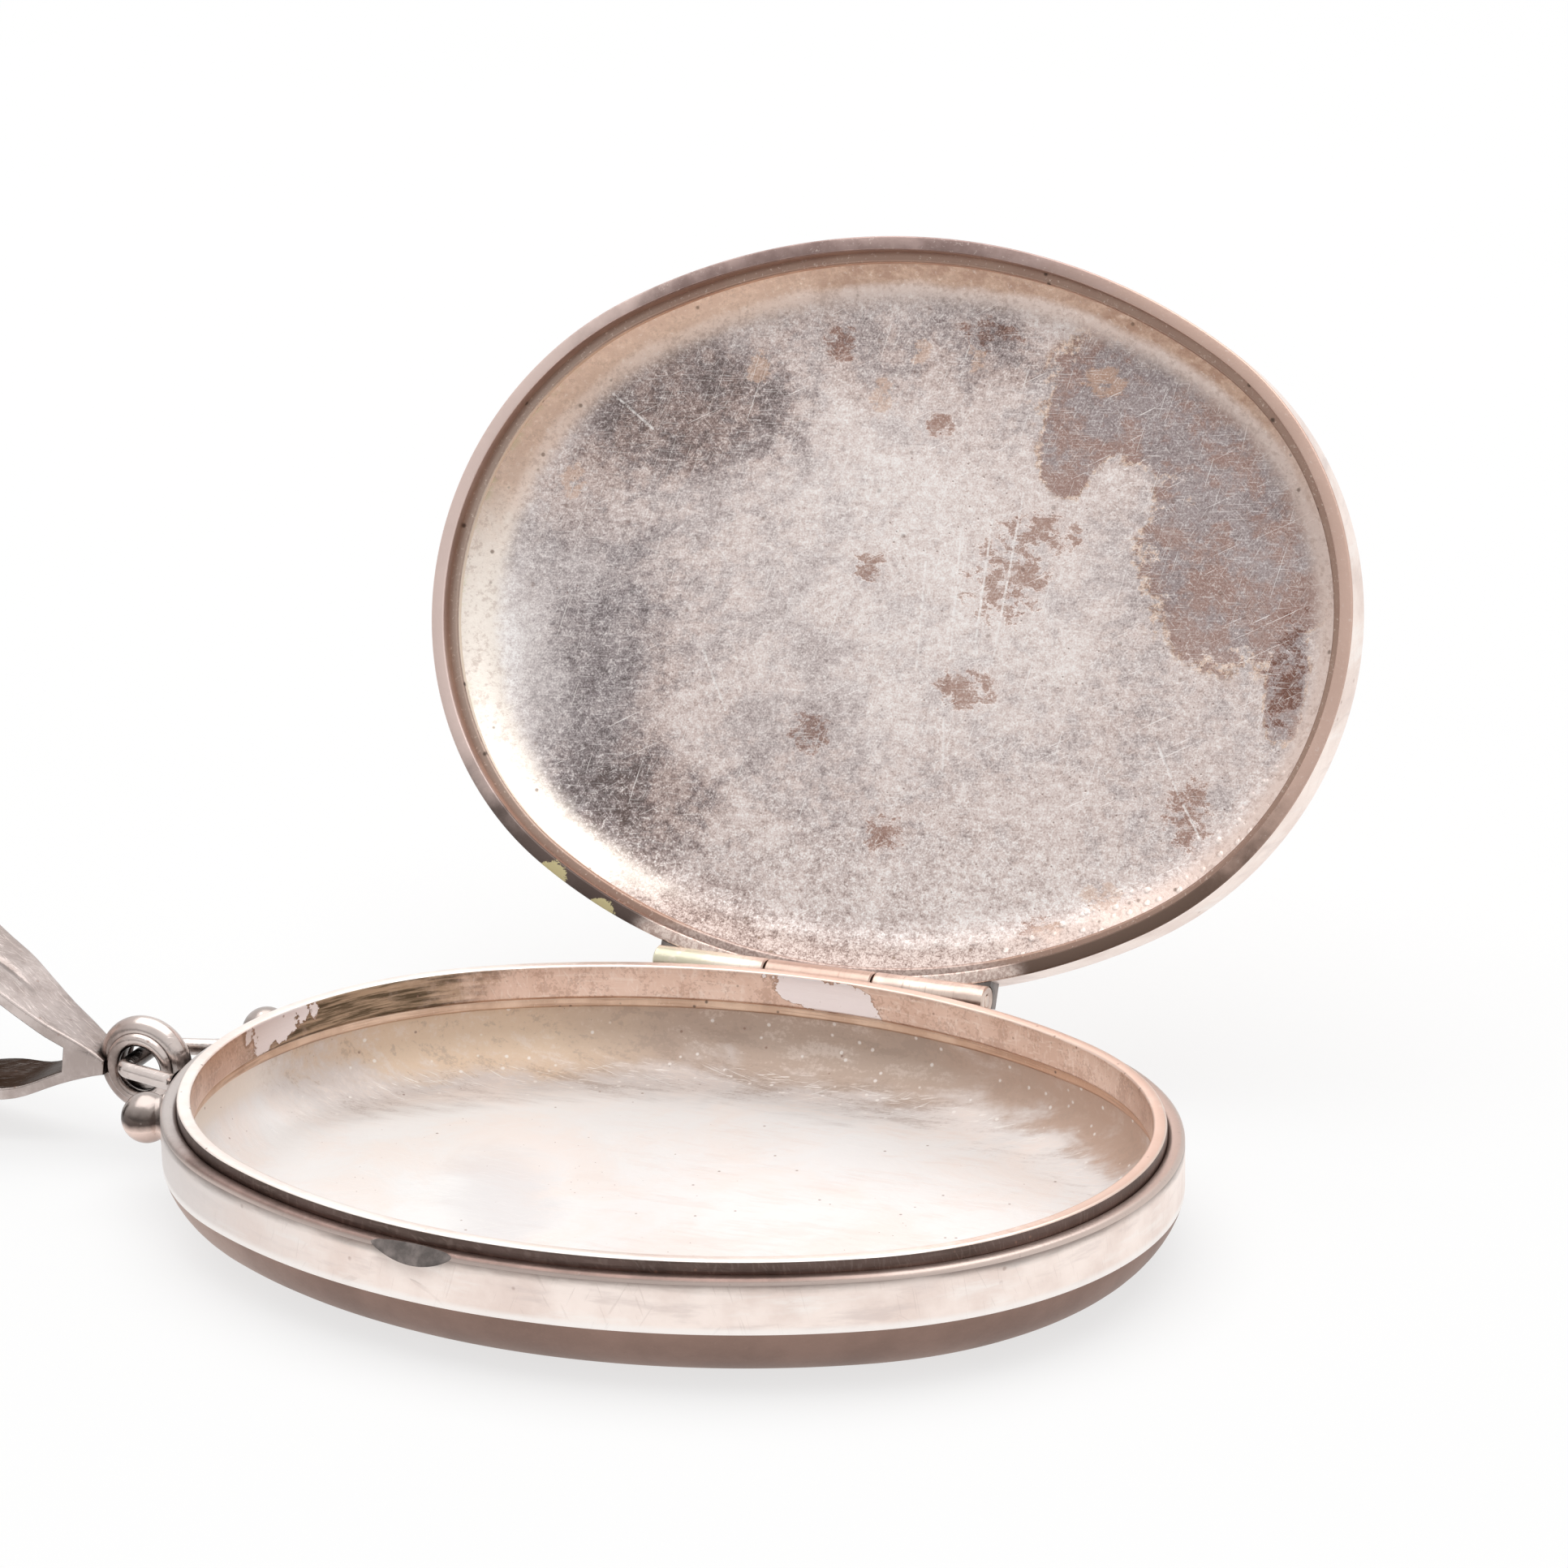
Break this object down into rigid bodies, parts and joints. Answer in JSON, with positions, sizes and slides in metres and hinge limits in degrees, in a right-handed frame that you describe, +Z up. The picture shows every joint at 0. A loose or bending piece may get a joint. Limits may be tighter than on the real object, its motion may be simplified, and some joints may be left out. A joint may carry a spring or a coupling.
{
  "type": "oval locket",
  "caption": "Oval hinged silver locket with shallow empty wells, a snap lip, a thumb notch, a knuckle hinge with a stop, and a folded-strap bail that swings on an end staple.",
  "frame": {"origin": "middle of the flat underside of the lower half", "axes": "+Z up out of the lower half's well, +Y towards the hinge, -X towards the bail"},
  "size_m": [0.0623, 0.046, 0.0323],
  "materials": {
    "case_silver": "aged, mottled and scratched silver",
    "lip_silver": "worn bright silver with warm tarnish",
    "dark_silver": "dark tarnished silver",
    "hinge_silver": "satin silver with some green deposit",
    "bail_silver": "polished silver, slightly tarnished"
  },
  "bodies": {
    "base": {"base_pan": "case_silver", "lip_strip": "lip_silver", "base_bearer": "dark_silver", "base_joint_seat": "dark_silver", "base_knuckle": "hinge_silver", "hinge_pin": "hinge_silver", "end_staple": "bail_silver", "granule_front": "bail_silver", "granule_back": "bail_silver"},
    "lid": {"lid_pan": "case_silver", "lid_bearer": "dark_silver", "lid_joint_seat_left": "dark_silver", "lid_joint_seat_right": "dark_silver", "lid_knuckle_left": "hinge_silver", "lid_knuckle_right": "hinge_silver"},
    "bail": {"bail_eye": "bail_silver", "bail_strap": "bail_silver"}
  },
  "joints": [
    {"name": "lid_hinge", "type": "hinge", "parent": "base", "child": "lid", "pos_m": [0, 0.01531, 0.0045], "axis": [1, 0, 0], "range_deg": [0, 115.6]},
    {"name": "bail_swing", "type": "hinge", "parent": "base", "child": "bail", "pos_m": [-0.02288, 0, 0.00374], "axis": [0, 1, 0], "range_deg": [-110, 95]}
  ]
}
